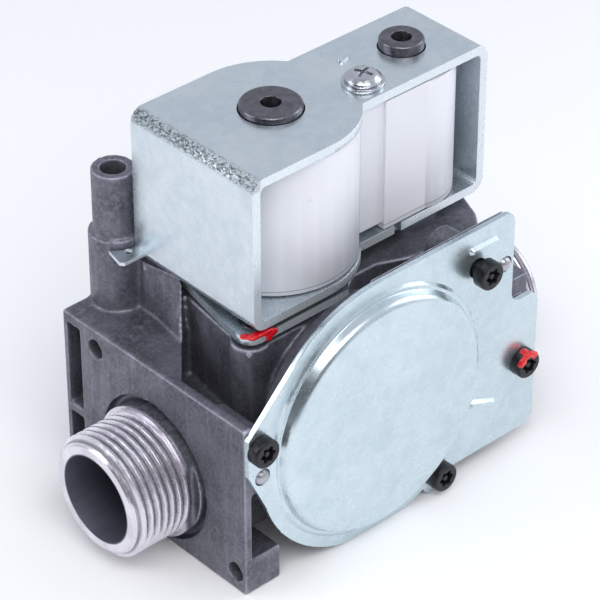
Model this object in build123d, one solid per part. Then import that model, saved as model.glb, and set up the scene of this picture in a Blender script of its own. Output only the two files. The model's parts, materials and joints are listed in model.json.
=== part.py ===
from build123d import *
import math
import os

# Gas valve with two solenoid operators and a diaphragm regulator. Millimetres.
# X runs along the gas flow, from the inlet at -X to the outlet at +X, +Z is up and -Y is the front.
# The origin is on the flow axis, in the face of the inlet flange.

# ---- castings and ports ----
body_length = 82.5
flange_half_width = 27.5
flange_top = 24.3
base_z = -16.0
flange_thickness = 9.0
core_front_y = -15.0
core_back_y = 25.0
core_bottom_z = -13.4
port_length = 15.0
port_bore_r = 9.5
thread_major_r = 13.22
thread_minor_r = 12.06
thread_pitch = 1.814
thread_land = 0.5
thread_lead_in = 1.2
thread_runout = 1.0
outlet_major_r = 13.04
hub_r = 14.2
hub_height = 2.0
hub_flat_y = -11.8
groove_r = 15.7
groove_depth = 2.0
flange_hole_r = 2.1
flange_hole_depth = 8.0
flange_holes = [(17.4, 19.6), (-24.2, -12.0)]

# ---- solenoid axes and pedestal ----
large_x = 31.7
small_x = 66.3
pedestal_top = 31.5
corner_x = 14.4
corner_y = -13.0
corner_r = 4.0
valley_floor = 13.4
lip = 2.2
web_top = 35.8
large_well_r = 9.0
large_well_floor = 3.5
large_seat_z = 5.0
large_seat_r = 5.5
small_well_r = 7.0
small_well_floor = 14.0
small_seat_z = 15.5
small_seat_r = 2.0
seat_lip = 1.2

# ---- diaphragm housing and front cover ----
dome_x = 33.5
dome_z = 13.3
front_y = -27.5
cover_t = 1.2
cover_r = 30.5
cover_top_z = 43.8
cover_bottom_z = -16.0
shoulder_r = 28.0
shoulder_h = 0.6
dome_base_r = 26.3
dome_face_r = 25.4
dome_flat_r = 20.5
dome_h = 3.4
dome_crown = 0.5
rim_back_y = -26.2
rim_margin = 2.2
housing_back_y = -21.0
housing_draft = 5.0
bowl_front_r = 27.2
bowl_back_r = 24.3
screw_boss_r = 3.4
chamber_r = 17.5
chamber_back_y = -17.0
chamber_mouth_r = 22.4
chamber_mouth_y = -23.0
rim_r = 24.6
rim_depth = 0.9
main_seat_r = 7.0
main_seat_y = -17.5
cover_screw_r = 1.9
cover_head_r = 3.1
cover_head_h = 2.6
socket_r = 1.4
lobe_r = 0.45
socket_depth = 1.6
socket_pin_r = 0.6
cover_screws_xz = [(2.6, 19.9), (51.2, -12.0), (74.4, 5.2)]
raised_screw_xz = (60.6, 34.6)
raised_screw_gap = 1.7
pin_r = 1.8
pin_cap_y = -27.9
pins_xz = [(3.4, 12.6), (68.4, 31.8)]

# ---- coil bracket ----
sheet = 2.0
bracket_x0 = 11.3
bracket_x1 = 79.9
bracket_z0 = 36.3
bracket_z1 = 70.7
bracket_large_r = 17.6
bracket_small_half = 10.7
bracket_seam = (55.0, 56.8)
bracket_screw_x = 51.0
bracket_screw_y = -5.2
tab_z = 38.6
tab_t = 0.8

# ---- tubes, cores and plungers ----
large_core_r = 6.3
large_core_top = 72.1
large_core_bottom = 50.0
small_core_r = 4.6
small_core_top = 72.9
small_core_bottom = 51.5
core_hole_r = 2.05
tube_wall = 0.6
tube_gap = 0.02
tube_flange_t = 1.5
plunger_gap = 0.08
large_lift = 2.4
small_lift = 1.8
coil_z0 = 38.6
coil_z1 = 68.3
large_coil_r = 17.2
small_coil_r = 11.0

# ---- retaining plate ----
plate_z0 = 33.0
plate_t = 1.8
plate_screws_xy = [(16.6, -12.4), (18.6, 13.2), (50.0, 0.0), (77.4, 0.0)]

# ---- nipple and its screw ----
nipple_x = 11.0
nipple_y = 23.2
nipple_r = 4.45
nipple_base_r = 5.5
nipple_step_z = 41.0
nipple_top = 55.3
nipple_bore_r = 2.6
nipple_seat_z = 30.0

# ---- regulator tower at the back ----
tower_x = 50.0
tower_y = 18.8
tower_r = 6.2
tower_top = 44.0
tower_thread_r = 4.0
tower_chamber_r = 5.2
tower_shoulder_z = 34.0
tower_floor_z = 21.0
running_gap = 0.06


os.makedirs("parts", exist_ok=True)


def save(shape, name):
    """Write one named piece."""
    shape.label = name
    export_step(shape, f"parts/{name}.step")


def block(x0, x1, y0, y1, z0, z1):
    """A box given by its limits."""
    return Pos((x0 + x1) / 2, (y0 + y1) / 2, (z0 + z1) / 2) * Box(abs(x1 - x0), abs(y1 - y0), abs(z1 - z0))


def rod_z(x, y, r, z0, z1):
    """A cylinder standing along Z."""
    return Pos(x, y, (z0 + z1) / 2) * Cylinder(r, abs(z1 - z0))


def rod_y(x, z, r, y0, y1):
    """A cylinder lying along Y."""
    return Pos(x, (y0 + y1) / 2, z) * Rot(90, 0, 0) * Cylinder(r, abs(y1 - y0))


def rod_x(y, z, r, x0, x1):
    """A cylinder lying along X."""
    return Pos((x0 + x1) / 2, y, z) * Rot(0, 90, 0) * Cylinder(r, abs(x1 - x0))


def ring_z(x, y, r_in, r_out, z0, z1):
    """A ring standing along Z."""
    return rod_z(x, y, r_out, z0, z1) - rod_z(x, y, r_in, z0 - 1, z1 + 1)


def turned(points, axis_plane, location):
    """Revolve a closed profile of (radius, height) points about the plane's vertical."""
    face = make_face(Polyline(*points, close=True))
    return location * revolve(axis_plane * face, axis=Axis.Z)


def revolve_z(points, x, y):
    """Turn a (radius, z) profile about a vertical axis at x, y."""
    return turned(points, Plane.XZ, Pos(x, y, 0))


def revolve_y(points, x, z):
    """Turn a (radius, distance towards the front) profile about an axis along Y."""
    return turned(points, Plane.XZ, Pos(x, 0, z) * Rot(90, 0, 0))


def revolve_x(points):
    """Turn a (radius, x) profile about the flow axis."""
    return turned(points, Plane.XZ, Rot(0, 90, 0))


def plan(points, z0, z1, radius):
    """Extrude a plan outline with rounded corners."""
    outline = make_face(Polyline(*points, close=True))
    outline = fillet(outline.vertices(), radius)
    return Pos(0, 0, z0) * extrude(outline, z1 - z0)


def front_outline(y0, y1, margin):
    """The cover's outline, extruded along Y between y0 and y1 and drawn in by a margin."""
    r = cover_r - margin
    left = -0.1 + margin
    tab_top = 22.6 - margin
    # the tab's upper edge runs as a tangent to the round part
    across = math.hypot(dome_x - left, dome_z - tab_top)
    reach = math.sqrt(across ** 2 - r ** 2)
    slope = math.atan2(dome_z - tab_top, dome_x - left) + math.asin(r / across)
    tab = make_face(
        Polyline(
            (left, 14.0 + margin),
            (left, tab_top),
            (left + reach * math.cos(slope), tab_top + reach * math.sin(slope)),
            (dome_x, dome_z),
            (8.2 + margin, -4.0 + margin),
            close=True,
        )
    )
    wing = make_face(
        Polyline(
            (dome_x, cover_top_z - margin),
            (70.8 - margin, cover_top_z - margin),
            (70.8 - margin, 21.0 - margin),
            (78.6 - margin, 21.0 - margin),
            (78.6 - margin, -12.2 + margin),
            (dome_x, -12.2 + margin),
            close=True,
        )
    )
    wing = fillet(wing.vertices().filter_by(lambda v: v.X > 70), 2.6)
    lobe_x, lobe_z = cover_screws_xz[1]
    shape = Circle(r).face().moved(Location((dome_x, dome_z, 0)))
    lobe = Circle(4.6 - margin).face().moved(Location((lobe_x, lobe_z, 0)))
    body = extrude(shape, y1 - y0) + extrude(tab, y1 - y0) + extrude(wing, y1 - y0)
    body += extrude(lobe, y1 - y0)
    placed = Pos(0, y1, 0) * Rot(90, 0, 0) * body
    return placed & block(-5, 90, y0 - 1, y1 + 1, cover_bottom_z, 60)


def thread_profile(x_end, direction, major_r):
    """Radius and x points of the ridges from the port's end back towards the flange."""
    count = int((port_length - thread_lead_in - thread_runout) / thread_pitch)
    flank = (thread_pitch - 2 * thread_land) / 2
    points = [(thread_minor_r - 0.6, x_end), (thread_minor_r, x_end + direction * 0.7)]
    x = x_end + direction * thread_lead_in
    points.append((thread_minor_r, x))
    for turn in range(count):
        points.append((major_r, x + direction * flank))
        points.append((major_r, x + direction * (flank + thread_land)))
        points.append((thread_minor_r, x + direction * (2 * flank + thread_land)))
        x += direction * thread_pitch
        points.append((thread_minor_r, x))
    return points


def port(x_end, x_face, direction, major_r):
    """A threaded port with a collar, along the flow axis."""
    ridge = thread_profile(x_end, direction, major_r)
    inner = [(port_bore_r - 1.5, x_face + direction * 2), (port_bore_r - 1.5, x_end)]
    outer = [(thread_minor_r, x_face), (thread_minor_r, x_face + direction * 2)]
    collar = rod_x(0, 0, hub_r, min(x_face, x_face - direction * hub_height),
                   max(x_face, x_face - direction * hub_height))
    collar -= block(x_face - 5, x_face + 5, -30, hub_flat_y, -30, 30)
    return revolve_x(inner + ridge + outer) + collar


# ---- valve body: one aluminium casting ----
def tapered(x0, x1, z0, z1):
    """A block behind the cover's rim that draws in towards the back."""
    d = housing_draft
    front = Plane((0, rim_back_y, 0), x_dir=(1, 0, 0), z_dir=(0, -1, 0))
    rear = Plane((0, housing_back_y, 0), x_dir=(1, 0, 0), z_dir=(0, -1, 0))
    wide = front * Pos((x0 + x1) / 2, (z0 + z1) / 2) * Rectangle(x1 - x0, z1 - z0)
    narrow = rear * Pos((x0 + x1) / 2, (z0 + z1) / 2) * Rectangle(x1 - x0 - 2 * d, z1 - z0 - 2 * d)
    return loft([wide, narrow], ruled=True)


def sloped_wall(low, high, z0, z1):
    """A straight-sided solid from one plan outline up to another."""
    bottom = Pos(0, 0, z0) * make_face(Polyline(*low, close=True))
    top = Pos(0, 0, z1) * make_face(Polyline(*high, close=True))
    return loft([bottom, top], ruled=True)


def make_body():
    half = flange_half_width
    body = block(0, flange_thickness, front_y, half, base_z, flange_top)
    body += block(body_length - flange_thickness, body_length, -22.0, half, base_z, 20.0)
    body += block(2, body_length - 2, core_front_y, core_back_y, core_bottom_z, flange_top)
    # hollow between the inlet flange and the pedestal
    hollow = [(20.0, 5.3), (12.5, 5.3), (9.7, 2.1), (lip, -6.7), (lip, -28.5), (20.0, -28.5)]
    body -= Pos(0, 0, valley_floor) * extrude(make_face(Polyline(*hollow, close=True)), 20.0)
    # round diaphragm housing behind a thin rim with the cover's outline
    rim = front_outline(front_y, rim_back_y, rim_margin)
    body += rim & block(0, 77, -40, 40, base_z, 43.2)
    body += revolve_y([(0, -housing_back_y), (bowl_back_r, -housing_back_y), (bowl_front_r, -rim_back_y),
                       (0, -rim_back_y)], dome_x, dome_z) & block(0, 77, -40, 40, base_z, 60)
    body += tapered(dome_x, 70.0, -9.0, 43.0)
    body += tapered(dome_x, 76.8, -9.0, 20.2)
    body += rod_y(dome_x, dome_z, chamber_r + 2, front_y, -14.0)
    body += block(42.0, 74.0, -23.0, core_front_y + 1, -9.0, 20.0)
    for x, z in cover_screws_xz[1:] + [raised_screw_xz]:
        body += rod_y(x, z, 4.4, front_y, -17.6) & block(40, 85, -30, -10, base_z, 50)
    for x, z in (cover_screws_xz[0], pins_xz[0]):
        body += rod_y(x, z, screw_boss_r, front_y, -16.0) & block(0, 20, -40, 40, base_z, 50)
    # pedestal under the solenoids, with a round corner boss
    outline = [(12.0, -11.0), (13.5, -16.4), (35.0, -16.4), (43.5, -10.9), (50.0, -10.9), (56.5, -13.8),
               (62.5, -14.6), (68.0, -17.6), (73.4, -16.6), (77.6, -11.5), (81.6, -2.0), (81.6, 6.4),
               (76.0, 12.0), (44.0, 12.0), (35.0, 17.4), (16.0, 18.4), (14.6, 6.0)]
    body += plan(outline, 10.0, pedestal_top, 1.6)
    body += rod_z(corner_x, corner_y, corner_r, valley_floor - 1, pedestal_top)
    # web from the pedestal to the nipple
    body += sloped_wall([(12.6, 24.0), (11.8, 14.0), (11.6, 10.9), (9.7, 2.1), (15.5, 7.0), (17.0, 24.0)],
                        [(12.4, 24.0), (12.0, 16.0), (12.4, 13.5), (14.0, 6.6), (14.3, 8.0), (14.6, 24.0)],
                        flange_top - 1.0, web_top)
    body += rod_z(large_x, 0, 15.5, 10.0, pedestal_top)
    body += rod_z(small_x, 0, 11.2, 10.0, pedestal_top)
    # small round marks left by the die's ejector pins
    body += ring_z(6.2, 11.6, 1.5, 2.1, flange_top - 0.5, flange_top + 0.25)
    # inlet pressure nipple
    body += rod_z(nipple_x, nipple_y, nipple_base_r, 10.0, nipple_step_z)
    body += rod_z(nipple_x, nipple_y, nipple_r, nipple_step_z - 1, nipple_top)
    # regulator tower
    body += rod_z(tower_x, tower_y, tower_r, 10.0, tower_top)
    # locating pins for the cover
    for x, z in pins_xz:
        body += rod_y(x, z, pin_r, pin_cap_y, front_y + 4)
        body += Pos(x, pin_cap_y, z) * Sphere(pin_r)
    # ports
    body += port(-port_length, 0, 1, thread_major_r)
    body += port(body_length + port_length, body_length, -1, outlet_major_r)
    return body


def make_body_cuts(body):
    # ports and first chamber
    body -= rod_x(0, 0, port_bore_r, -port_length - 1, 23.8)
    body -= block(22.6, large_x, -7, 7, large_well_floor + 1.4, 9.4)
    body -= rod_x(0, 0, port_bore_r, 60, body_length + port_length + 1)
    # groove round each collar
    for x0, x1 in ((-0.01, groove_depth), (body_length - groove_depth, body_length + 0.01)):
        body -= rod_x(0, 0, groove_r, x0, x1) - rod_x(0, 0, hub_r, x0 - 1, x1 + 1)
    # wells for the two plungers, each with a raised seat
    body -= rod_z(large_x, 0, large_well_r, large_seat_z, pedestal_top + 1)
    body -= ring_z(large_x, 0, large_seat_r + seat_lip, large_well_r, large_well_floor, large_seat_z)
    body -= rod_z(large_x, 0, large_seat_r, -5, large_seat_z + 1)
    body -= rod_z(small_x, 0, small_well_r, small_seat_z, pedestal_top + 1)
    body -= ring_z(small_x, 0, small_seat_r + seat_lip, small_well_r, small_well_floor, small_seat_z)
    body -= rod_z(small_x, 0, small_seat_r, 5, small_seat_z + 1)
    # passage under the first seat and up behind the main seat
    body -= block(25.6, 41.0, -14.6, 6.0, -10.0, -3.0)
    body -= block(25.6, 41.0, -14.6, -10.8, -10.0, 21.0)
    # bleed from that passage to the second well
    body -= block(40.0, 63.0, -13.2, -11.4, 18.0, 20.0)
    body -= block(61.0, 63.0, -13.2, -4.0, 18.0, 20.0)
    # diaphragm chamber, its rim seat and the main seat
    body -= rod_y(dome_x, dome_z, chamber_r, chamber_back_y, front_y - 1)
    body -= rod_y(dome_x, dome_z, chamber_mouth_r, chamber_mouth_y, front_y - 1)
    body -= rod_y(dome_x, dome_z, rim_r + 0.1, front_y + rim_depth, front_y - 1)
    body += rod_y(dome_x, dome_z, main_seat_r + seat_lip, main_seat_y, chamber_back_y + 0.5)
    body -= rod_y(dome_x, dome_z, main_seat_r, main_seat_y - 1, -14.0)
    # outlet passage
    body -= block(46.0, 66.0, -22.0, -3.0, -5.0, 8.0)
    # servo line from the regulator tower to the chamber
    body -= rod_y(tower_x - 4, 15.4, 1.0, -18.0, tower_y)
    body -= rod_z(tower_x - 4, tower_y, 1.0, 15.4, tower_floor_z + 1)
    # tower bore
    body -= rod_z(tower_x, tower_y, tower_chamber_r, tower_floor_z, tower_shoulder_z)
    body -= rod_z(tower_x, tower_y, tower_thread_r, tower_shoulder_z - 1, tower_top + 1)
    # nipple bore and its passage to the inlet
    body -= rod_z(nipple_x, nipple_y, nipple_bore_r, nipple_seat_z, nipple_top + 1)
    body -= rod_z(nipple_x, nipple_y, 1.2, 1.0, nipple_seat_z + 1)
    body -= rod_y(nipple_x, 2.0, 1.2, 5.0, nipple_y)
    # flange screw holes and weight-saving pockets
    for y, z in flange_holes:
        body -= rod_x(y, z, flange_hole_r, -1, flange_hole_depth)
        if y > 0:
            body -= rod_x(y, z - 1.6, flange_hole_r, body_length - flange_hole_depth, body_length + 1)
    body -= block(-1, 5.5, 22.0, 26.2, 1.9, 21.9)
    body -= block(-1, 5.5, 22.0, 26.2, -12.4, -0.2)
    body -= block(body_length - 5.5, body_length + 1, 22.0, 26.2, -12.4, 16.0)
    body -= block(1.8, 9.2, front_y - 1, -18.0, -8.0, 8.0)
    # threaded holes for the cover and plate screws
    for x, z in cover_screws_xz + [raised_screw_xz]:
        body -= rod_y(x, z, cover_screw_r + 0.05, front_y - 1, front_y + 8.5)
    for x, y in plate_screws_xy:
        body -= rod_z(x, y, 1.65, pedestal_top - 8, pedestal_top + 1)
    return body


valve_body = make_body_cuts(make_body())
save(valve_body, "valve_body")


# ---- inlet strainer: a punched disc held in the inlet bore ----
def make_strainer():
    disc = rod_x(0, 0, port_bore_r - 0.03, 14.0, 14.8)
    pitch = 2.6
    hole = 1.8
    for i in range(-3, 4):
        for j in range(-3, 4):
            if math.hypot(i * pitch, j * pitch) < 7.6:
                disc -= Pos(14.4, i * pitch, j * pitch) * Box(3, hole, hole)
    rim = rod_x(0, 0, port_bore_r - 0.03, 12.6, 14.2) - rod_x(0, 0, port_bore_r - 0.7, 12.0, 15.0)
    return disc + rim


save(make_strainer(), "inlet_strainer")


# ---- front cover: one drawn zinc-plated plate ----
def make_cover():
    y_face = front_y - cover_t
    plate = front_outline(y_face, front_y, 0.0)
    k = -y_face
    # the dome's section, with its bends rounded
    edge_h = k + dome_h - dome_crown
    corners = [(0, k - 0.6), (shoulder_r, k - 0.6), (shoulder_r, k), (shoulder_r - 0.7, k + shoulder_h),
               (dome_base_r + 0.3, k + shoulder_h), (dome_base_r - 0.5, edge_h), (dome_flat_r, k + dome_h),
               (0, k + dome_h)]
    section = make_face(Polyline(*[(r, 0, h) for r, h in corners], close=True))
    for index, radius in ((6, 12.0), (5, 1.9), (4, 0.3), (3, 0.3)):
        r, h = corners[index]
        section = fillet(section.vertices().sort_by_distance((r, 0, h))[0], radius)
    dome = Pos(dome_x, 0, dome_z) * Rot(90, 0, 0) * revolve(section, axis=Axis.Z)
    inner = [(0, k - cover_t - 1), (shoulder_r - 2.2, k - cover_t - 1), (shoulder_r - 2.2, k - cover_t),
             (dome_base_r - 1.2, k), (dome_base_r - 1.8, edge_h - cover_t - 0.9),
             (dome_face_r - 2.2, edge_h - cover_t), (dome_flat_r, k + dome_h - cover_t),
             (0, k + dome_h - cover_t)]
    cover = plate + dome
    cover -= revolve_y(inner, dome_x, dome_z)
    for x, z in cover_screws_xz + [raised_screw_xz]:
        cover -= rod_y(x, z, cover_screw_r + 0.35, y_face - 5, front_y + 1)
    for x, z in pins_xz:
        cover -= rod_y(x, z, pin_r + 0.1, y_face - 1, front_y + 1)
    # short stiffening ribs
    for x, z, length, angle in ((62.1, 39.2, 8.0, -1.0), (63.2, -0.2, 8.2, -22.0)):
        rib = extrude(SlotOverall(length, 2.0), 0.8, taper=35)
        cover += Pos(x, y_face, z) * Rot(90, 0, 0) * Rot(0, 0, angle) * rib
    return cover


save(make_cover(), "front_cover")


# ---- screws ----
def socket_screw(length):
    """A cylinder-head screw pointing along +Z, head below zero, with a six-lobed socket."""
    head = Pos(0, 0, -cover_head_h / 2) * Cylinder(cover_head_r, cover_head_h)
    head = fillet(head.faces().sort_by(Axis.Z)[0].edges(), 0.5)
    shank = Pos(0, 0, length / 2) * Cylinder(cover_screw_r, length)
    socket = Pos(0, 0, -cover_head_h) * Cylinder(socket_r, 2 * socket_depth)
    for i in range(6):
        lobe = Cylinder(lobe_r, 2 * socket_depth)
        socket += Rot(0, 0, 60 * i) * Pos(socket_r, 0, -cover_head_h) * lobe
    pin = Pos(0, 0, -cover_head_h + socket_depth / 2 + 0.3) * Cylinder(socket_pin_r, socket_depth)
    return head + shank - socket + pin


def make_cover_screws(places, gap):
    screws = []
    for x, z in places:
        screws.append(Pos(x, front_y - cover_t - gap, z) * Rot(-90, 0, 0) * socket_screw(8.4 + cover_t))
    return screws


save(Compound(make_cover_screws(cover_screws_xz[:2], 0.0)), "cover_screws")
save(make_cover_screws(cover_screws_xz[2:], 0.0)[0], "sealed_cover_screw")
save(make_cover_screws([raised_screw_xz], raised_screw_gap)[0], "raised_cover_screw")


# ---- coil bracket: one bent strip round both coils ----
def bracket_column(z0, z1):
    """The bracket's width seen from above, wide and round at the large coil, narrow at the small one."""
    column = block(bracket_x0 - 1, large_x, -bracket_large_r, bracket_large_r, z0, z1)
    column += rod_z(large_x, 0, bracket_large_r, z0, z1)
    column += block(large_x, bracket_x1 + 1, -bracket_small_half, bracket_small_half, z0, z1)
    return column


def make_bracket():
    width = bracket_x1 - bracket_x0
    height = bracket_z1 - bracket_z0
    mid_x = (bracket_x0 + bracket_x1) / 2
    mid_z = (bracket_z0 + bracket_z1) / 2
    outer = RectangleRounded(width, height, 3.0)
    inner = RectangleRounded(width - 2 * sheet, height - 2 * sheet, 1.2)
    loop = extrude(outer - inner, 2 * bracket_large_r)
    loop = Pos(mid_x, bracket_large_r, mid_z) * Rot(90, 0, 0) * loop
    strip = loop & bracket_column(bracket_z0 - 1, bracket_z1 + 1)
    strip -= block(bracket_seam[0], bracket_seam[1], -30, 30, bracket_z0 - 1, bracket_z0 + sheet + 0.5)
    strip -= rod_z(large_x, 0, large_core_r + 0.25, bracket_z1 - 3, bracket_z1 + 1)
    strip -= rod_z(small_x, 0, small_core_r + 0.25, bracket_z1 - 3, bracket_z1 + 1)
    strip -= rod_z(large_x, 0, large_core_r + tube_wall + 0.4, bracket_z0 - 1, bracket_z0 + 3)
    strip -= rod_z(small_x, 0, small_core_r + tube_wall + 0.4, bracket_z0 - 1, bracket_z0 + 3)
    strip -= rod_z(bracket_screw_x, bracket_screw_y, 2.2, bracket_z1 - 3, bracket_z1 + 1)
    # earth tab beside the nipple
    root_x = bracket_x0 + 0.6
    tab_points = [(root_x, 14.2), (5.9, 14.2), (5.2, 15.0), (6.4, 20.0), (7.2, 20.6), (root_x, 20.0)]
    tab = Pos(0, 0, tab_z) * extrude(make_face(Polyline(*tab_points, close=True)), tab_t)
    strip += tab - rod_z(nipple_x, nipple_y, nipple_base_r + 0.3, 30, 50) - rod_z(9.0, 16.8, 0.8, 30, 50)
    nub = extrude(SlotOverall(3.0, 1.7), 0.5)
    strip += Pos(54.2, 4.0, bracket_z1) * Rot(0, 0, 20) * nub
    return strip


save(make_bracket(), "coil_bracket")


# ---- coils: plastic bobbin and overmould with a copper winding inside each ----
def make_large_coil():
    coil = rod_z(large_x, 0, large_coil_r, coil_z0, coil_z1)
    socket = block(large_x - 8, large_x + 8, 10, 21.0, 46, 58)
    socket -= block(large_x - 6.8, large_x + 6.8, 17.6, 22.0, 47.2, 56.8)
    coil += socket
    coil -= rod_z(large_x, 0, large_core_r + tube_wall + 0.15, coil_z0 - 1, coil_z1 + 1)
    coil -= ring_z(large_x, 0, 8.4, 13.6, 41.0, 66.0)
    for dx in (-3.0, 3.0):
        coil -= block(large_x + dx - 1.41, large_x + dx + 1.41, 15.0, 18.0, 51.59, 52.41)
    return coil


def make_small_coil():
    coil = rod_z(small_x, 0, small_coil_r, coil_z0, coil_z1)
    coil += block(52.2, small_x, -10.6, 10.6, coil_z0, coil_z1)
    coil += block(44.0, 52.4, -9.9, 9.9, coil_z0 + 1.5, coil_z1)
    coil -= rod_z(large_x, 0, large_coil_r + 0.25, coil_z0 - 1, coil_z1 + 1)
    socket = block(small_x - 8, small_x + 8, 5.6, 16.0, 46, 58)
    socket -= block(small_x - 6.8, small_x + 6.8, 12.6, 17.0, 47.2, 56.8)
    coil += socket
    coil -= rod_z(small_x, 0, small_core_r + tube_wall + 0.15, coil_z0 - 1, coil_z1 + 1)
    coil -= ring_z(small_x, 0, 6.4, 9.2, 41.0, 66.0)
    for dx in (-3.0, 3.0):
        coil -= block(small_x + dx - 1.41, small_x + dx + 1.41, 10.4, 13.0, 51.59, 52.41)
    coil -= rod_z(bracket_screw_x, bracket_screw_y, 1.9, coil_z1 - 9.5, coil_z1 + 1)
    return coil


save(make_large_coil(), "large_coil")
save(make_small_coil(), "small_coil")
save(ring_z(large_x, 0, 8.45, 13.55, 41.05, 65.95), "large_winding")
save(ring_z(small_x, 0, 6.45, 9.15, 41.05, 65.95), "small_winding")


def make_terminals():
    blades = []
    for dx in (-3.0, 3.0):
        blades.append(block(large_x + dx - 1.4, large_x + dx + 1.4, 15.1, 20.4, 51.6, 52.4))
        blades.append(block(small_x + dx - 1.4, small_x + dx + 1.4, 10.5, 15.4, 51.6, 52.4))
    return blades


save(Compound(make_terminals()), "coil_terminals")


# ---- bracket screw with its washer ----
def make_bracket_screw():
    top = bracket_z1
    profile = [(0, top + 0.8), (3.7, top + 0.8), (3.7, top + 1.5), (2.6, top + 2.4), (0, top + 2.7)]
    head = revolve_z(profile, bracket_screw_x, bracket_screw_y)
    shank = rod_z(bracket_screw_x, bracket_screw_y, 1.85, top - 11.0, top + 1)
    screw = head + shank
    for angle in (20, 110):
        screw -= Pos(bracket_screw_x, bracket_screw_y, top + 2.4) * Rot(0, 0, angle) * Box(4.0, 0.8, 1.9)
    return screw


save(make_bracket_screw(), "bracket_screw")
save(ring_z(bracket_screw_x, bracket_screw_y, 2.1, 4.3, bracket_z1, bracket_z1 + 0.8), "bracket_screw_washer")


# ---- retaining plate and its countersunk screws ----
def make_plate():
    corners = [(9.8, -17.0), (36.6, -17.0), (46.0, -6.4), (81.0, -6.4), (81.0, 6.4), (46.0, 6.4),
               (36.6, 17.0), (16.0, 17.0), (14.6, 6.0)]
    outline = make_face(Polyline(*corners, close=True))
    outline = fillet(outline.vertices().sort_by_distance((9.8, -17.0, 0))[0], 3.2)
    plate = Pos(0, 0, plate_z0) * extrude(outline, plate_t)
    for x, y in plate_screws_xy:
        plate -= revolve_z([(0, plate_z0 - 1), (2.2, plate_z0 - 1), (2.2, plate_z0 + 0.4),
                            (3.6, plate_z0 + plate_t), (3.6, plate_z0 + 4), (0, plate_z0 + 4)], x, y)
    plate -= rod_z(large_x, 0, large_core_r + tube_wall + 0.3, plate_z0 - 1, plate_z0 + 3)
    plate -= rod_z(small_x, 0, small_core_r + tube_wall + 0.3, plate_z0 - 1, plate_z0 + 3)
    return plate


def make_plate_screws():
    screws = []
    top = plate_z0 + plate_t
    for x, y in plate_screws_xy:
        profile = [(0, top - 8.6), (1.6, top - 8.6), (1.6, top - 1.5), (3.3, top - 0.1), (0, top - 0.1)]
        screw = revolve_z(profile, x, y)
        for angle in (0, 90):
            screw -= Pos(x, y, top - 0.4) * Rot(0, 0, angle) * Box(3.4, 0.7, 1.4)
        screws.append(screw)
    return screws


save(make_plate(), "retaining_plate")
save(Compound(make_plate_screws()), "plate_screws")


# ---- one operator: guide tube, seal ring, fixed core, plunger, spring and valve disc ----
def coil_spring(x, y, radius, wire, z0, z1, turns):
    """A compression spring with its wire kept inside z0 and z1."""
    low = z0 + wire / 2
    high = z1 - wire / 2
    path = Helix(pitch=(high - low) / turns, height=high - low, radius=radius)
    section = Plane(origin=path @ 0, z_dir=path % 0) * Circle(wire / 2)
    return Pos(x, y, low) * sweep(section, path, is_frenet=True)


def make_operator(x, core_r, core_top, core_bottom, well_r, seat_z, lift, prefix):
    tube_in = core_r + tube_gap
    tube_out = core_r + tube_wall
    tube_top = bracket_z1 - sheet - 0.7
    flange_z0 = pedestal_top
    tube = ring_z(x, 0, tube_in, tube_out, flange_z0, tube_top)
    tube += ring_z(x, 0, tube_in, well_r + 1.0, flange_z0, flange_z0 + tube_flange_t)
    save(tube, f"{prefix}_guide_tube")
    groove = Pos(x, 0, flange_z0 - 0.75) * Torus(well_r - 0.78, 0.72)
    save(groove, f"{prefix}_tube_seal")
    core = rod_z(x, 0, core_r, core_bottom, core_top)
    core = chamfer(core.faces().sort_by(Axis.Z)[-1].edges(), 0.45)
    core -= rod_z(x, 0, core_hole_r, core_top - 4, core_top + 1)
    save(core, f"{prefix}_core")
    plunger_r = core_r - plunger_gap
    collar_z0 = seat_z + 2.4
    collar_r = well_r - 1.1
    plunger = rod_z(x, 0, plunger_r, collar_z0, core_bottom - lift)
    plunger += rod_z(x, 0, collar_r, collar_z0, collar_z0 + 1.4)
    plunger -= rod_z(x, 0, 1.2, core_bottom - lift - 5, core_bottom)
    save(plunger, f"{prefix}_plunger")
    save(rod_z(x, 0, collar_r - 0.3, seat_z, collar_z0), f"{prefix}_valve_seal")
    wire = 0.09 * well_r
    radius = plunger_r + wire / 2 + 0.25
    spring = coil_spring(x, 0, radius, wire, collar_z0 + 1.4, flange_z0 - 0.02, 6)
    save(spring, f"{prefix}_plunger_spring")


make_operator(large_x, large_core_r, large_core_top, large_core_bottom, large_well_r, large_seat_z,
              large_lift, "large")
make_operator(small_x, small_core_r, small_core_top, small_core_bottom, small_well_r, small_seat_z,
              small_lift, "small")


# ---- main valve behind the cover: diaphragm, plates, closure, seal and spring ----
hub_back = -20.3
hub_front = -21.5
k0 = -front_y
diaphragm = revolve_y(
    [(3.0, -hub_back), (14.6, -hub_back), (20.5, k0 - rim_depth), (rim_r, k0 - rim_depth),
     (rim_r, k0), (20.0, k0), (14.2, -hub_front), (3.0, -hub_front)],
    dome_x,
    dome_z,
)
save(diaphragm, "main_diaphragm")
save(revolve_y([(3.0, -hub_front), (13.4, -hub_front), (14.2, 22.6), (13.4, 22.6), (12.8, 22.3), (3.0, 22.3)],
               dome_x, dome_z), "diaphragm_plate")
save(revolve_y([(0, 18.6), (9.6, 18.6), (9.6, 19.4), (4.0, -hub_back), (3.0, -hub_back), (3.0, 22.3), (4.2, 22.3),
                (4.2, 23.2), (0, 23.2)], dome_x, dome_z), "main_valve_disc")
save(revolve_y([(0, 17.5), (9.4, 17.5), (9.4, 18.6), (0, 18.6)], dome_x, dome_z), "main_valve_seal")
main_spring = coil_spring(0, 0, 9.4, 0.9, 22.3, 28.7 + dome_h - cover_t, 3)
save(Pos(dome_x, 0, dome_z) * Rot(90, 0, 0) * main_spring, "main_valve_spring")


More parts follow.
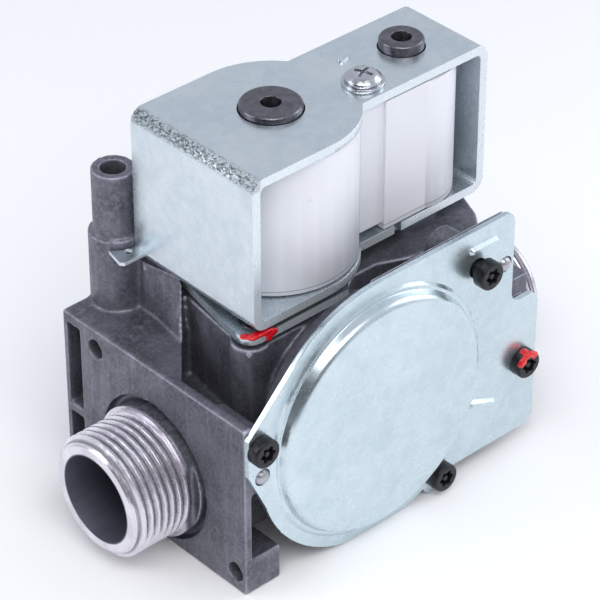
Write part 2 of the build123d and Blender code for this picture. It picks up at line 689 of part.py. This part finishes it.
# ---- inlet pressure screw in the nipple ----
def make_test_screw():
    screw = rod_z(nipple_x, nipple_y, nipple_bore_r - running_gap, 33.0, 41.0)
    screw += rod_z(nipple_x, nipple_y, 1.7, nipple_seat_z + 0.3, 33.5)
    screw -= Pos(nipple_x, nipple_y, 41.0) * Box(6, 0.8, 2.4)
    return screw


save(make_test_screw(), "inlet_test_screw")
save(ring_z(nipple_x, nipple_y, 1.76, 2.5, nipple_seat_z, nipple_seat_z + 2.8), "inlet_test_seal")


# ---- servo regulator in the tower ----
def make_regulator():
    x = tower_x
    y = tower_y
    screw = rod_z(x, y, tower_thread_r - running_gap, 37.0, 42.6)
    screw -= Pos(x, y, 42.6) * Box(9, 1.0, 2.6)
    save(screw, "regulator_screw")
    seat = rod_z(x, y, tower_thread_r - 0.3, 35.8, 37.0) + rod_z(x, y, 1.9, 34.4, 36.0)
    save(seat, "regulator_spring_seat")
    save(coil_spring(x, y, 2.6, 0.7, 26.4, 35.8, 6), "regulator_spring")
    cup = rod_z(x, y, 3.6, 25.4, 26.4) + rod_z(x, y, 1.9, 26.2, 27.6)
    save(cup, "servo_valve_plate")
    save(revolve_z([(0, 24.6), (3.6, 24.6), (4.3, tower_floor_z + 1.6), (5.1, tower_floor_z + 1.6),
                    (5.1, tower_floor_z + 2.4), (4.6, tower_floor_z + 2.4), (3.8, 25.4), (0, 25.4)], x, y),
         "servo_diaphragm")
    save(ring_z(x, y, 4.2, 5.15, tower_floor_z, tower_floor_z + 1.6), "servo_diaphragm_ring")
    cap = rod_z(x, y, tower_r + 1.2, 40.6, 46.2) - rod_z(x, y, tower_r + 0.03, 39, tower_top)
    cap -= rod_z(x, y, tower_thread_r, tower_top - 1, tower_top + 0.9)
    for i in range(12):
        cap -= Pos(x, y, 0) * Rot(0, 0, 30 * i) * rod_z(tower_r + 1.6, 0, 0.7, 40, 47)
    save(cap, "regulator_cap")


make_regulator()
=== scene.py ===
import json
import math

import bmesh
import bpy
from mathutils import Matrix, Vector


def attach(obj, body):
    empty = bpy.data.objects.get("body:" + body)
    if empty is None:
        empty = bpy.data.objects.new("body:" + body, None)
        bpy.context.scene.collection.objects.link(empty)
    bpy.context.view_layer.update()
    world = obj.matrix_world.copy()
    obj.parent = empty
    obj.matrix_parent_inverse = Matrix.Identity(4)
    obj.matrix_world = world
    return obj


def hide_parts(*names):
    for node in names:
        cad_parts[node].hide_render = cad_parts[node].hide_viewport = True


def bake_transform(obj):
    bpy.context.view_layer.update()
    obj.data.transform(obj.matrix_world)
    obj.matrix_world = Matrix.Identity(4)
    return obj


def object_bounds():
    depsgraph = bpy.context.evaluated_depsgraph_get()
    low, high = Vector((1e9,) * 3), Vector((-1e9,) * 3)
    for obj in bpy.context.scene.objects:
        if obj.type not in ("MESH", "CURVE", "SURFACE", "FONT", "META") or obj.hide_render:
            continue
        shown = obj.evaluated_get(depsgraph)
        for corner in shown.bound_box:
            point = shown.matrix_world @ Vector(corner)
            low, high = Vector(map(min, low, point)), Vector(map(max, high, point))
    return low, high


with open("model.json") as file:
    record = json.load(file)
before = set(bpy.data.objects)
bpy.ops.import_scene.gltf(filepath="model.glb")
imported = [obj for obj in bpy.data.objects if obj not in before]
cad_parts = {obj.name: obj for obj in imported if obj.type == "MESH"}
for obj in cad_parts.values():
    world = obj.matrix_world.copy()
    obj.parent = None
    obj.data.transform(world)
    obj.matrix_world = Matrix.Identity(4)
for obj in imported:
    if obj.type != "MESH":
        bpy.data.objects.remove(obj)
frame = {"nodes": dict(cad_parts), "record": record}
cad_low, cad_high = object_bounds()
nodes = frame["nodes"]
MM = 0.001

# places on the CAD part that the looks follow
BODY_LENGTH = 82.5 * MM  # from one flange face to the other
COLLAR = 2.0 * MM  # plain collar between a flange and its thread
PORT_BORE_R = 9.6 * MM
THREAD_ROOT_R = 12.22 * MM
END_FACE_R = 11.95 * MM
PINS = ((3.4 * MM, 12.6 * MM), (68.4 * MM, 31.8 * MM))  # X and Z of the two cast pins through the cover
PIN_R = 2.0 * MM
PIN_HEAD_Y = -27.6 * MM
COIL_SEAM_Z = 39.6 * MM
SHARP_BEND = (14.3 * MM, 67.7 * MM)  # X and Z where the bracket's top plate starts to bend down
LARGE_AXIS = (31.7 * MM, 0, 0)
SMALL_AXIS = (66.3 * MM, 0, 0)
SEALED_X, SEALED_Z, HEAD_Y = 74.4, 5.2, -31.3  # head of the sealed cover screw, in millimetres


# ---------------------------------------------------------------- materials
def toned(color, factor):
    """A colour made darker or lighter by a factor."""
    return tuple(min(1.0, c * factor) for c in color)


class Paint:
    """One procedural material, with short calls for the nodes it needs."""

    def __init__(self, name, color, metallic, roughness, coat=0.0, subsurface=0.0):
        self.mat = bpy.data.materials.new(name)
        self.mat.use_nodes = True
        self.tree = self.mat.node_tree
        self.shader = self.tree.nodes["Principled BSDF"]
        self.shader.inputs["Base Color"].default_value = (*color, 1)
        self.shader.inputs["Metallic"].default_value = metallic
        self.shader.inputs["Roughness"].default_value = roughness
        self.shader.inputs["Coat Weight"].default_value = coat
        self.shader.inputs["Coat Roughness"].default_value = 0.1
        if subsurface:
            self.shader.inputs["Subsurface Weight"].default_value = subsurface
            self.shader.inputs["Subsurface Radius"].default_value = (1.2 * MM, 1.1 * MM, 1.3 * MM)
            self.shader.inputs["Subsurface Scale"].default_value = 0.5
        self.coords = self.tree.nodes.new("ShaderNodeTexCoord").outputs["Object"]
        self.bumps = []

    def link(self, output, socket):
        self.tree.links.new(output, socket)

    def node(self, kind, **settings):
        made = self.tree.nodes.new(kind)
        for key, value in settings.items():
            setattr(made, key, value)
        return made

    def mapping(self, rotation=(0, 0, 0), scale=(1, 1, 1)):
        """Object coordinates turned and stretched."""
        made = self.node("ShaderNodeMapping")
        made.inputs["Rotation"].default_value = rotation
        made.inputs["Scale"].default_value = scale
        self.link(self.coords, made.inputs["Vector"])
        return made.outputs["Vector"]

    def noise(self, scale, detail=3.0, roughness=0.5, vector=None, distortion=0.0):
        made = self.node("ShaderNodeTexNoise")
        made.inputs["Scale"].default_value = scale
        made.inputs["Detail"].default_value = detail
        made.inputs["Roughness"].default_value = roughness
        made.inputs["Distortion"].default_value = distortion
        self.link(vector or self.coords, made.inputs["Vector"])
        return made.outputs["Fac"]

    def span(self, value, low, high, out_low=0.0, out_high=1.0):
        """Eases from out_low to out_high as the value goes from low to high."""
        made = self.node("ShaderNodeMapRange", clamp=True)
        made.interpolation_type = "SMOOTHSTEP"
        made.inputs["From Min"].default_value = low
        made.inputs["From Max"].default_value = high
        made.inputs["To Min"].default_value = out_low
        made.inputs["To Max"].default_value = out_high
        self.link(value, made.inputs["Value"])
        return made.outputs["Result"]

    def math(self, op, a, b=None):
        made = self.node("ShaderNodeMath", operation=op)
        for i, value in enumerate((a, b)):
            if value is None:
                continue
            if isinstance(value, (int, float)):
                made.inputs[i].default_value = value
            else:
                self.link(value, made.inputs[i])
        return made.outputs[0]

    def axis(self, name):
        made = self.node("ShaderNodeSeparateXYZ")
        self.link(self.coords, made.inputs[0])
        return made.outputs[name]

    def distance(self, centre, across):
        """Distance from an axis through centre, across the two named directions."""
        moved = self.node("ShaderNodeVectorMath", operation="SUBTRACT")
        self.link(self.coords, moved.inputs[0])
        moved.inputs[1].default_value = centre
        flat = self.node("ShaderNodeVectorMath", operation="MULTIPLY")
        self.link(moved.outputs[0], flat.inputs[0])
        flat.inputs[1].default_value = across
        length = self.node("ShaderNodeVectorMath", operation="LENGTH")
        self.link(flat.outputs[0], length.inputs[0])
        return length.outputs["Value"]

    def blend(self, fac, a, b):
        """Colour a where fac is 0 and b where it is 1."""
        made = self.node("ShaderNodeMix", data_type="RGBA")
        self.link(fac, made.inputs["Factor"])
        for socket, value in ((made.inputs[6], a), (made.inputs[7], b)):
            if isinstance(value, tuple):
                socket.default_value = (*value, 1)
            else:
                self.link(value, socket)
        return made.outputs[2]

    def color(self, value):
        self.link(value, self.shader.inputs["Base Color"])

    def rough(self, value):
        self.link(value, self.shader.inputs["Roughness"])

    def metal(self, value):
        self.link(value, self.shader.inputs["Metallic"])

    def bump(self, height, strength, distance):
        """Adds relief on top of the relief that is there already."""
        made = self.node("ShaderNodeBump")
        made.inputs["Strength"].default_value = strength
        made.inputs["Distance"].default_value = distance
        self.link(height, made.inputs["Height"])
        if self.bumps:
            self.link(self.bumps[-1], made.inputs["Normal"])
        self.bumps.append(made.outputs["Normal"])
        self.link(made.outputs["Normal"], self.shader.inputs["Normal"])


def cast_paint(name, dark, light, pins):
    """Die-cast aluminium: clouded, streaked by the die, lighter on its edges from rubbed wear and a painted
    highlight, lighter in its fillets from a painted highlight, bare on the pin heads.
    """
    p = Paint(name, light, 0.60, 0.48)
    cloud = p.span(p.noise(110, 5, 0.65), 0.36, 0.66)
    base = p.blend(cloud, dark, light)
    drawn = p.noise(1.0, 3, 0.6, vector=p.mapping(scale=(620, 620, 60)))
    streak = p.span(drawn, 0.50, 0.74, 0.0, 0.55)
    base = p.blend(streak, base, toned(light, 1.45))
    stain = p.span(p.noise(210, 4, 0.7, distortion=1.2), 0.60, 0.74, 0.0, 0.6)
    base = p.blend(stain, base, toned(dark, 0.55))
    grain = p.span(p.noise(1300, 3, 0.7), 0.40, 0.66, 0.0, 0.5)
    base = p.blend(grain, base, toned(light, 1.5))
    convexity = p.node("ShaderNodeNewGeometry").outputs["Pointiness"]
    # convex edges made lighter: partly rubbed wear, partly a painted highlight
    rub_and_highlight_noise = p.span(p.noise(420, 4, 0.7), 0.30, 0.62, 0.25, 1.0)
    rubbed_and_highlit_edge = p.math("MULTIPLY", p.span(convexity, 0.515, 0.57), rub_and_highlight_noise)
    base = p.blend(rubbed_and_highlit_edge, base, toned(light, 2.9))
    # concave fillets made lighter: a painted highlight, broken up by noise
    fillet_highlight_noise = p.span(p.noise(300, 3), 0.35, 0.65)
    painted_fillet_highlight = p.math("MULTIPLY", p.span(convexity, 0.485, 0.44, 0.0, 0.55), fillet_highlight_noise)
    base = p.blend(painted_fillet_highlight, base, toned(light, 1.7))
    bare = None
    for x, z in pins:
        spot = p.span(p.distance((x, 0, z), (1, 0, 1)), PIN_R + 0.3 * MM, PIN_R)
        bare = spot if bare is None else p.math("MAXIMUM", bare, spot)
    bare = p.math("MULTIPLY", bare, p.span(p.axis("Y"), PIN_HEAD_Y + 0.6 * MM, PIN_HEAD_Y))
    p.color(p.blend(bare, base, (0.42, 0.42, 0.46)))
    rough = p.span(p.noise(260, 3), 0.3, 0.7, 0.38, 0.56)
    p.rough(p.math("SUBTRACT", rough, p.math("MULTIPLY", bare, 0.22)))
    p.bump(p.noise(75, 3), 0.30, 0.40 * MM)
    p.bump(p.noise(700, 3, 0.6), 0.28, 0.10 * MM)
    p.bump(p.noise(2300, 2, 0.6), 0.25, 0.04 * MM)
    return p.mat


def port_paint(name, color, bore_color, ring_pitch):
    """Machined threads and end faces, with painted shade at the thread's root, round a dark cast bore."""
    metallic = 0.8
    p = Paint(name, color, metallic, 0.3)
    r = p.distance((0, 0, 0), (0, 1, 1))
    inside = p.span(r, PORT_BORE_R + 0.3 * MM, PORT_BORE_R)
    cloud = p.span(p.noise(380, 4, 0.6), 0.3, 0.7)
    turned = p.span(p.noise(1.0, 2, 0.5, vector=p.mapping(scale=(4200, 160, 160))), 0.35, 0.65)
    tone = p.blend(turned, toned(color, 0.86), toned(color, 1.06))
    tone = p.blend(p.math("MULTIPLY", cloud, 0.15), tone, toned(color, 0.6))
    # painted shade in the thread's roots, beyond the end face
    painted_root_shade = p.span(r, THREAD_ROOT_R, THREAD_ROOT_R + 0.40 * MM, 0.75, 0.0)
    past_end_face = p.span(r, END_FACE_R, END_FACE_R + 0.08 * MM)
    tone = p.blend(p.math("MULTIPLY", painted_root_shade, past_end_face), tone, toned(color, 0.30))
    p.color(p.blend(inside, tone, bore_color))
    p.metal(p.math("SUBTRACT", metallic, p.math("MULTIPLY", inside, 0.3)))
    rough = p.span(p.noise(900, 3), 0.3, 0.7, 0.20, 0.28)
    p.rough(p.math("ADD", rough, p.math("MULTIPLY", inside, 0.3)))
    p.bump(p.math("SINE", p.math("MULTIPLY", r, 2 * math.pi / ring_pitch)), 0.20, 0.01 * MM)
    p.bump(turned, 0.18, 0.02 * MM)
    return p.mat


def sheet_paint(name, base, tint, streak_axis, bend=None, cut_edges=0.0):
    """Bright zinc plate: soft blotches, faint drawing lines, scratches, a crazed bend and bright cut edges.
    bend is the X and Z where a sharp bend starts, and cut_edges how bright the edges that face Y are."""
    metallic = 0.90
    p = Paint(name, base, metallic, 0.30)
    blotch = p.span(p.noise(85, 4, 0.55, distortion=0.6), 0.38, 0.66)
    mottled = p.span(p.noise(420, 3, 0.6), 0.35, 0.7)
    tone = p.blend(p.math("MULTIPLY", blotch, 0.7), tint, base)
    tone = p.blend(p.math("MULTIPLY", mottled, 0.35), tone, toned(base, 1.10))
    fleck = p.span(p.noise(900, 2, 0.5), 0.74, 0.77, 0.0, 0.30)
    tone = p.blend(fleck, tone, toned(base, 0.45))
    stretch = [900.0, 900.0, 900.0]
    stretch[streak_axis] = 22.0
    lines = p.noise(1.0, 2, 0.5, vector=p.mapping(scale=stretch))
    worn = p.span(p.noise(160, 5, 0.6), 0.35, 0.7, 0.26, 0.31)
    p.rough(p.math("ADD", worn, p.math("MULTIPLY", p.math("SUBTRACT", lines, 0.5), 0.10)))
    p.bump(p.noise(45, 2), 0.22, 0.30 * MM)
    p.bump(lines, 0.10, 0.02 * MM)
    scratch = p.noise(1.0, 0, 0.3, vector=p.mapping(rotation=(0.5, 0.3, 0.7), scale=(3200, 55, 3200)))
    p.bump(p.span(scratch, 0.68, 0.74), 0.06, 0.02 * MM)
    if bend:
        x, z = bend
        beside = p.span(p.axis("X"), x - 0.4 * MM, x - 1.6 * MM)
        above = p.span(p.axis("Z"), z + 0.2 * MM, z + 1.4 * MM)
        strip = p.math("MULTIPLY", beside, above)
        crack = p.span(p.noise(1.0, 4, 0.75, vector=p.mapping(scale=(2600, 1300, 2600))), 0.40, 0.62)
        crazed = p.math("MULTIPLY", strip, crack)
        tone = p.blend(crazed, tone, toned(base, 0.16))
        p.bump(crazed, 0.5, 0.15 * MM)
    facing = p.node("ShaderNodeSeparateXYZ")
    p.link(p.node("ShaderNodeNewGeometry").outputs["True Normal"], facing.inputs[0])
    sheared = p.span(p.math("ABSOLUTE", facing.outputs["Y"]), 0.55, 0.80, 0.0, cut_edges)
    p.color(p.blend(sheared, tone, (0.72, 0.76, 0.81)))
    p.metal(p.math("SUBTRACT", metallic, p.math("MULTIPLY", sheared, 0.6)))
    return p.mat


def turned_paint(name, color, metallic, roughness, centre, across, ring_pitch):
    """Metal with fine turning rings round its own axis."""
    p = Paint(name, color, metallic, roughness)
    r = p.distance(centre, across)
    rings = p.math("SINE", p.math("MULTIPLY", r, 2 * math.pi / ring_pitch))
    cloud = p.span(p.noise(500, 4, 0.6), 0.3, 0.7)
    p.color(p.blend(cloud, toned(color, 0.72), toned(color, 1.15)))
    p.rough(p.span(p.noise(900, 3), 0.3, 0.7, roughness * 0.8, roughness * 1.25))
    p.bump(rings, 0.25, 0.01 * MM)
    p.bump(p.noise(1400, 2), 0.15, 0.03 * MM)
    return p.mat


def plain_paint(name, color, metallic, roughness, grain, depth, coat=0.0):
    """One even finish with a light clouding and a fine grain."""
    p = Paint(name, color, metallic, roughness, coat=coat)
    cloud = p.span(p.noise(grain * 0.15, 4, 0.6), 0.3, 0.7)
    p.color(p.blend(cloud, toned(color, 0.82), toned(color, 1.06)))
    p.rough(p.span(p.noise(grain * 0.4, 3), 0.3, 0.7, roughness * 0.85, roughness * 1.18))
    p.bump(p.noise(grain, 2), 0.25, depth)
    return p.mat


def coil_paint(name, color, seam_z):
    """White glass-filled plastic, with the bobbin's flange showing greyer under the overmould."""
    p = Paint(name, color, 0.0, 0.42, subsurface=0.10)
    cloud = p.span(p.noise(60, 3, 0.5), 0.3, 0.7)
    tone = p.blend(cloud, toned(color, 0.95), color)
    z = p.axis("Z")
    below_seam = p.span(z, seam_z + 0.06 * MM, seam_z - 0.06 * MM)
    tone = p.blend(below_seam, tone, toned(color, 0.88))
    from_below = p.span(z, seam_z - 0.16 * MM, seam_z - 0.04 * MM)
    from_above = p.span(z, seam_z + 0.16 * MM, seam_z + 0.04 * MM)
    seam = p.math("MULTIPLY", from_below, from_above)
    tone = p.blend(p.math("MULTIPLY", seam, 0.8), tone, toned(color, 0.30))
    speck = p.span(p.noise(700, 2, 0.5), 0.74, 0.78, 0.0, 0.35)
    p.color(p.blend(speck, tone, toned(color, 0.6)))
    p.rough(p.span(p.noise(500, 3), 0.3, 0.7, 0.36, 0.50))
    p.bump(p.noise(1100, 2), 0.15, 0.03 * MM)
    return p.mat


CORE_STEEL = (0.17, 0.165, 0.19)
RING_PITCH = 0.35 * MM

cast = cast_paint("cast_aluminium", (0.088, 0.090, 0.112), (0.158, 0.160, 0.192), PINS)
machined = port_paint("machined_aluminium", (0.78, 0.75, 0.82), (0.10, 0.105, 0.14), 0.30 * MM)
zinc = sheet_paint("zinc_sheet", (0.66, 0.72, 0.76), (0.58, 0.65, 0.70), 2, SHARP_BEND, 0.60)
zinc_cover = sheet_paint("zinc_cover", (0.63, 0.72, 0.765), (0.55, 0.65, 0.70), 0)
plastic = coil_paint("coil_plastic", (0.70, 0.71, 0.76), COIL_SEAM_Z)
black_steel = plain_paint("black_steel", (0.014, 0.014, 0.017), 0.4, 0.33, 1600, 0.03 * MM)
bright_steel = plain_paint("bright_steel", (0.62, 0.64, 0.68), 1.0, 0.25, 1500, 0.02 * MM)
stainless = plain_paint("stainless", (0.40, 0.40, 0.42), 1.0, 0.35, 1500, 0.02 * MM)
rubber = plain_paint("seal_rubber", (0.02, 0.02, 0.02), 0.0, 0.6, 900, 0.04 * MM)
copper = plain_paint("copper_wire", (0.60, 0.24, 0.12), 1.0, 0.35, 700, 0.08 * MM)
tinned = plain_paint("tinned_brass", (0.62, 0.56, 0.42), 1.0, 0.3, 1500, 0.02 * MM)
tube_steel = plain_paint("guide_tube_steel", (0.30, 0.30, 0.33), 1.0, 0.35, 1500, 0.02 * MM)
alloy = plain_paint("plain_aluminium", (0.60, 0.60, 0.63), 1.0, 0.35, 1400, 0.02 * MM)
black_plastic = plain_paint("black_plastic", (0.02, 0.02, 0.022), 0.0, 0.45, 900, 0.04 * MM)
core_large = turned_paint("large_core_steel", CORE_STEEL, 1.0, 0.33, LARGE_AXIS, (1, 1, 0), RING_PITCH)
core_small = turned_paint("small_core_steel", CORE_STEEL, 1.0, 0.33, SMALL_AXIS, (1, 1, 0), RING_PITCH)
red = plain_paint("seal_lacquer", (0.62, 0.002, 0.008), 0.0, 0.22, 500, 0.15 * MM, coat=0.3)

# the guide tubes' slot says brass, and they are painted as the grey steel tube that shows under the bracket
by_slot = {
    "cast_aluminium": cast,
    "zinc_sheet": zinc,
    "black_steel": black_steel,
    "bright_steel": bright_steel,
    "core_steel": core_large,
    "stainless": stainless,
    "coil_plastic": plastic,
    "black_plastic": black_plastic,
    "copper_wire": copper,
    "tinned_brass": tinned,
    "brass_tube": tube_steel,
    "seal_rubber": rubber,
    "plain_aluminium": alloy,
}
slot_of = {row["node"]: row["material_slot"] for row in frame["record"]["subparts"]}


# ---------------------------------------------------------------- mesh helpers
def dress(obj, mat):
    for slot in obj.material_slots:
        slot.material = mat
    if not obj.material_slots:
        obj.data.materials.append(mat)


def soften(obj, width, segments=2, angle=35):
    """Round an object's sharp edges with modifiers only. The angle is in degrees."""
    weld = obj.modifiers.new("weld", "WELD")
    weld.merge_threshold = 1e-6
    flat = obj.modifiers.new("flat", "DECIMATE")
    flat.decimate_type = "DISSOLVE"
    flat.angle_limit = math.radians(0.5)
    bevel = obj.modifiers.new("bevel", "BEVEL")
    bevel.width = width
    bevel.segments = segments
    bevel.limit_method = "ANGLE"
    bevel.angle_limit = math.radians(angle)
    bevel.harden_normals = True


def new_piece(name, mesh, mat, body):
    """A new piece that rides on a CAD body."""
    obj = bpy.data.objects.new(name, mesh)
    bpy.context.scene.collection.objects.link(obj)
    mesh.materials.clear()
    mesh.materials.append(mat)
    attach(obj, body)
    return obj


def cut_copy(node, name, cuts):
    """A copy of a CAD node's mesh, cut by planes given as (point, outward direction) and closed again."""
    bm = bmesh.new()
    bm.from_mesh(nodes[node].data)
    bmesh.ops.remove_doubles(bm, verts=bm.verts, dist=1e-6)
    for point, outward in cuts:
        geom = bm.verts[:] + bm.edges[:] + bm.faces[:]
        cut = bmesh.ops.bisect_plane(
            bm, geom=geom, plane_co=point, plane_no=outward, clear_outer=True, dist=1e-7
        )
        edges = [item for item in cut["geom_cut"] if isinstance(item, bmesh.types.BMEdge)]
        bmesh.ops.triangle_fill(bm, edges=edges, use_beauty=True)
    bmesh.ops.recalc_face_normals(bm, faces=bm.faces)
    mesh = bpy.data.meshes.new(name)
    bm.to_mesh(mesh)
    bm.free()
    return mesh


def grow_skin(obj, mat, voxel, factor, steps):
    """One even skin over the object's mesh, smoothed and applied. The factor is the share of each step."""
    skin = obj.modifiers.new("skin", "REMESH")
    skin.mode = "VOXEL"
    skin.voxel_size = voxel
    flow = obj.modifiers.new("flow", "SMOOTH")
    flow.factor = factor
    flow.iterations = steps
    shown = obj.evaluated_get(bpy.context.evaluated_depsgraph_get())
    mesh = bpy.data.meshes.new_from_object(shown)
    obj.modifiers.clear()
    obj.data = mesh
    mesh.shade_smooth()
    mesh.materials.clear()
    mesh.materials.append(mat)


for name, obj in nodes.items():
    dress(obj, by_slot[slot_of[name]])
dress(nodes["front_cover"], zinc_cover)
for name in ("small_core", "small_plunger"):
    dress(nodes[name], core_small)


# ---------------------------------------------------------------- casting: blasted skin and rounded edges
inlet_cut = Vector((-COLLAR * 0.98, 0, 0))
outlet_cut = Vector((BODY_LENGTH + COLLAR * 0.98, 0, 0))
between_ports = cut_copy("valve_body", "casting", [(inlet_cut, (-1, 0, 0)), (outlet_cut, (1, 0, 0))])
casting = new_piece("casting", between_ports, cast, "valve")
grow_skin(casting, cast, 0.40 * MM, 0.5, 3)
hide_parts("valve_body")

for name, cut, outward in (
    ("inlet_port_thread", inlet_cut, (1, 0, 0)),
    ("outlet_port_thread", outlet_cut, (-1, 0, 0)),
):
    threaded_end = cut_copy("valve_body", name, [(cut, outward)])
    port = new_piece(name, threaded_end, machined, "valve")
    soften(port, 0.12 * MM, 2, 25)


# ---------------------------------------------------------------- springs and diaphragms, copied into pieces of their own
# each row: CAD node, piece, moving body, where it stays still and where it moves, in millimetres
for node, piece, moving, still_end, moving_end in (
    ("large_plunger_spring", "large_plunger_coils", "large_plunger_unit", (0, 0, 31.0), (0, 0, 9.6)),
    ("small_plunger_spring", "small_plunger_coils", "small_plunger_unit", (0, 0, 31.0), (0, 0, 19.9)),
    ("main_valve_spring", "main_valve_coils", "main_valve", (0, -29.9, 0), (0, -23.3, 0)),
    ("main_diaphragm", "main_diaphragm_skin", "main_valve", (0, -26.6, 0), (0, -21.5, 0)),
    ("servo_diaphragm", "servo_diaphragm_skin", "servo_valve", (0, 0, 23.4), (0, 0, 24.6)),
    ("regulator_spring", "regulator_coils", "spring_seat", (0, 0, 27.2), (0, 0, 35.0)),
):
    flexing = bpy.data.objects.new(piece, nodes[node].data.copy())
    bpy.context.scene.collection.objects.link(flexing)
    dress(flexing, by_slot[slot_of[node]])
    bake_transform(flexing)
    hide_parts(node)


# ---------------------------------------------------------------- red sealing lacquer
def blob(name, drops):
    """A soft blob grown from overlapping drops, each (centre, half sizes) in millimetres."""
    bm = bmesh.new()
    for centre, half_sizes in drops:
        made = bmesh.ops.create_icosphere(bm, subdivisions=3, radius=1.0)
        for vert in made["verts"]:
            vert.co = Vector([(c + v * h) * MM for c, v, h in zip(centre, vert.co, half_sizes)])
    mesh = bpy.data.meshes.new(name)
    bm.to_mesh(mesh)
    bm.free()
    grow_skin(new_piece(name, mesh, red, "valve"), red, 0.16 * MM, 0.5, 5)


RIM = 2.45  # where the lacquer sits on the screw's head, from its axis
round_the_rim = [
    ((SEALED_X + RIM * math.sin(a), HEAD_Y + 0.45, SEALED_Z + RIM * math.cos(a)), (0.80, 0.62, 0.80))
    for a in (-1.15, -0.85, -0.52, -0.18, 0.15, 0.48, 0.80)
]
over_the_face = [
    ((73.1, HEAD_Y + 0.15, 6.5), (0.55, 0.30, 0.75)),
    ((75.5, HEAD_Y + 0.15, 6.7), (0.5, 0.28, 0.55)),
]
on_the_cover = [((74.1, HEAD_Y + 1.5, 8.1), (1.1, 1.0, 0.36))]
blob("screw_lacquer", round_the_rim + over_the_face + on_the_cover)

# along the front corner of the retaining plate, with one run down its edge
plate_drops = [
    ((12.6, -16.4, 34.9), (1.9, 1.0, 0.6)),
    ((14.6, -16.9, 35.0), (2.2, 0.7, 0.6)),
    ((16.6, -17.1, 34.3), (1.3, 0.5, 0.9)),
    ((15.6, -17.2, 33.8), (0.9, 0.35, 1.1)),
    ((11.0, -15.2, 34.9), (1.0, 1.0, 0.35)),
]
blob("plate_lacquer", plate_drops)


# ---------------------------------------------------------------- rounded edges on the CAD pieces
edge_widths = {
    "coil_bracket": 0.22,
    "front_cover": 0.14,
    "retaining_plate": 0.25,
    "large_coil": 0.5,
    "small_coil": 0.45,
    "cover_screws": 0.12,
    "sealed_cover_screw": 0.12,
    "raised_cover_screw": 0.12,
    "bracket_screw": 0.15,
    "bracket_screw_washer": 0.12,
    "large_core": 0.2,
    "small_core": 0.2,
    "regulator_cap": 0.2,
    "plate_screws": 0.1,
}
for name, width in edge_widths.items():
    soften(nodes[name], width * MM)


# ---------------------------------------------------------------- floor and light
FLOOR_HALF = 1.6
FLOOR_DROP = 0.2 * MM  # a hair under the foot, so that the two faces don't flicker
floor_z = cad_low.z - FLOOR_DROP
corners = [
    (-FLOOR_HALF, -FLOOR_HALF, floor_z),
    (FLOOR_HALF, -FLOOR_HALF, floor_z),
    (FLOOR_HALF, FLOOR_HALF, floor_z),
    (-FLOOR_HALF, FLOOR_HALF, floor_z),
]
mesh = bpy.data.meshes.new("floor")
mesh.from_pydata(corners, [], [(0, 1, 2, 3)])
floor = bpy.data.objects.new("floor", mesh)
bpy.context.scene.collection.objects.link(floor)
floor_paint = Paint("floor", (0.93, 0.93, 0.94), 0.0, 0.6)
floor_tone = floor_paint.blend(floor_paint.noise(4, 2), (0.92, 0.92, 0.93), (0.94, 0.94, 0.95))
floor_paint.color(floor_tone)
mesh.materials.append(floor_paint.mat)

# a bright sky with one dark side, which the bright metal reflects
world = bpy.data.worlds.new("studio")
bpy.context.scene.world = world
world.use_nodes = True
sky = world.node_tree
background = sky.nodes["Background"]
background.inputs["Strength"].default_value = 0.80
towards_dark = sky.nodes.new("ShaderNodeVectorMath")
towards_dark.operation = "DOT_PRODUCT"
sky.links.new(sky.nodes.new("ShaderNodeTexCoord").outputs["Generated"], towards_dark.inputs[0])
towards_dark.inputs[1].default_value = Vector((-0.72, -0.50, 0.48)).normalized()
dark_side = sky.nodes.new("ShaderNodeMapRange")
dark_side.inputs["From Min"].default_value = 0.35
dark_side.inputs["From Max"].default_value = 0.80
sky.links.new(towards_dark.outputs["Value"], dark_side.inputs["Value"])
sky_tone = sky.nodes.new("ShaderNodeMix")
sky_tone.data_type = "RGBA"
sky_tone.inputs[6].default_value = (0.80, 0.84, 0.92, 1)
sky_tone.inputs[7].default_value = (0.02, 0.02, 0.035, 1)
sky.links.new(dark_side.outputs["Result"], sky_tone.inputs["Factor"])
sky.links.new(sky_tone.outputs[2], background.inputs["Color"])

MIDDLE = Vector((0.040, 0.0, 0.025))
COOL = (0.95, 0.97, 1.0)


def soft_box(name, place, size, power, color=(1, 1, 1)):
    """A rectangular lamp that points at the middle of the object. The power is in watts."""
    light = bpy.data.lights.new(name, "AREA")
    light.shape = "RECTANGLE"
    light.size, light.size_y = size
    light.energy = power
    light.color = color
    obj = bpy.data.objects.new(name, light)
    obj.location = place
    obj.rotation_euler = (MIDDLE - Vector(place)).to_track_quat("-Z", "Y").to_euler()
    bpy.context.scene.collection.objects.link(obj)
    return obj


soft_box("key", (-0.15, -0.55, 0.75), (0.6, 0.5), 3.6)
soft_box("side", (-0.70, 0.45, 0.50), (0.5, 0.6), 2.4, COOL)
soft_box("left", (-0.42, -0.22, 0.85), (0.35, 0.35), 1.7)
fill = soft_box("fill", (-0.42, -0.62, 0.32), (0.9, 0.6), 2.3)
fill.visible_glossy = False  # it only lifts the matt surfaces and leaves no reflection
soft_box("right", (0.70, -0.25, 0.35), (0.4, 0.5), 1.5, COOL)


# ---------------------------------------------------------------- camera at the photo's viewing angle
AZIMUTH = math.radians(-42.38)
ELEVATION = math.radians(35.30)
DISTANCE = 0.6227
LENS = 184.5
AIM = Vector((0.04069, 0.00159, 0.02054))
back = Vector((
    math.sin(AZIMUTH) * math.cos(ELEVATION),
    -math.cos(AZIMUTH) * math.cos(ELEVATION),
    math.sin(ELEVATION),
))
camera = bpy.data.cameras.new("camera")
camera.sensor_width = 36.0
camera.lens = LENS
camera.clip_start = 0.01
camera.clip_end = 20.0
eye = bpy.data.objects.new("camera", camera)
eye.location = AIM + back * DISTANCE
eye.rotation_mode = "QUATERNION"
eye.rotation_quaternion = (-back).to_track_quat("-Z", "Y")
bpy.context.scene.collection.objects.link(eye)
bpy.context.scene.camera = eye
bpy.context.scene.view_settings.view_transform = "Standard"
